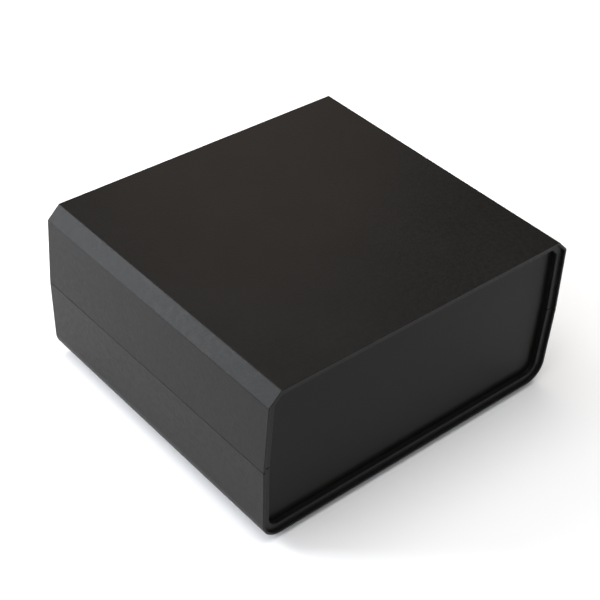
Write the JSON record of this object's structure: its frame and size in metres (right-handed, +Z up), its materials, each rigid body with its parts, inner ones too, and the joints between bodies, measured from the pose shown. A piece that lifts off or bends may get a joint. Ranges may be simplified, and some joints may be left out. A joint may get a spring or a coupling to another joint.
{
  "type": "instrument case",
  "caption": "Split moulded plastic instrument case: bevelled upper edges, rounded lower edges, recessed slide-in end panels, lift-off upper shell, rubber feet.",
  "frame": {"origin": "on the standing surface, under the middle of the case", "axes": "+Z up, front panel towards -Y, +X to the right as seen from the front"},
  "size_m": [0.15, 0.1332, 0.0735],
  "materials": {
    "shell_plastic": "fine spark-eroded black ABS",
    "panel_plastic": "smooth satin black ABS",
    "screw_steel": "zinc plated steel",
    "insert_brass": "turned brass",
    "foot_rubber": "black moulded rubber"
  },
  "bodies": {
    "lower_case": {"lower_shell": "shell_plastic", "foot_front_left": "foot_rubber", "foot_front_right": "foot_rubber", "foot_rear_left": "foot_rubber", "foot_rear_right": "foot_rubber"},
    "upper_case": {"upper_shell": "shell_plastic", "insert_front_left": "insert_brass", "insert_front_right": "insert_brass", "insert_rear_left": "insert_brass", "insert_rear_right": "insert_brass"},
    "front_panel": {"front_panel": "panel_plastic"},
    "rear_panel": {"rear_panel": "panel_plastic"},
    "screw_front_left": {"case_screw_front_left": "screw_steel"},
    "screw_front_right": {"case_screw_front_right": "screw_steel"},
    "screw_rear_left": {"case_screw_rear_left": "screw_steel"},
    "screw_rear_right": {"case_screw_rear_right": "screw_steel"}
  },
  "joints": [
    {"name": "upper_shell_lift", "type": "slide", "parent": "lower_case", "child": "upper_case", "axis": [0, 0, 1], "range_m": [0, 0.08]},
    {"name": "front_panel_lift", "type": "slide", "parent": "lower_case", "child": "front_panel", "axis": [0, 0, 1], "range_m": [0, 0.04]},
    {"name": "rear_panel_lift", "type": "slide", "parent": "lower_case", "child": "rear_panel", "axis": [0, 0, 1], "range_m": [0, 0.04]},
    {"name": "screw_front_left_out", "type": "slide", "parent": "lower_case", "child": "screw_front_left", "axis": [0, 0, -1], "range_m": [0, 0.045]},
    {"name": "screw_front_right_out", "type": "slide", "parent": "lower_case", "child": "screw_front_right", "axis": [0, 0, -1], "range_m": [0, 0.045]},
    {"name": "screw_rear_left_out", "type": "slide", "parent": "lower_case", "child": "screw_rear_left", "axis": [0, 0, -1], "range_m": [0, 0.045]},
    {"name": "screw_rear_right_out", "type": "slide", "parent": "lower_case", "child": "screw_rear_right", "axis": [0, 0, -1], "range_m": [0, 0.045]}
  ],
  "couplings": [
    {"joint": "front_panel_lift", "follows": "upper_shell_lift", "ratio": 0.5},
    {"joint": "rear_panel_lift", "follows": "upper_shell_lift", "ratio": 0.5}
  ]
}
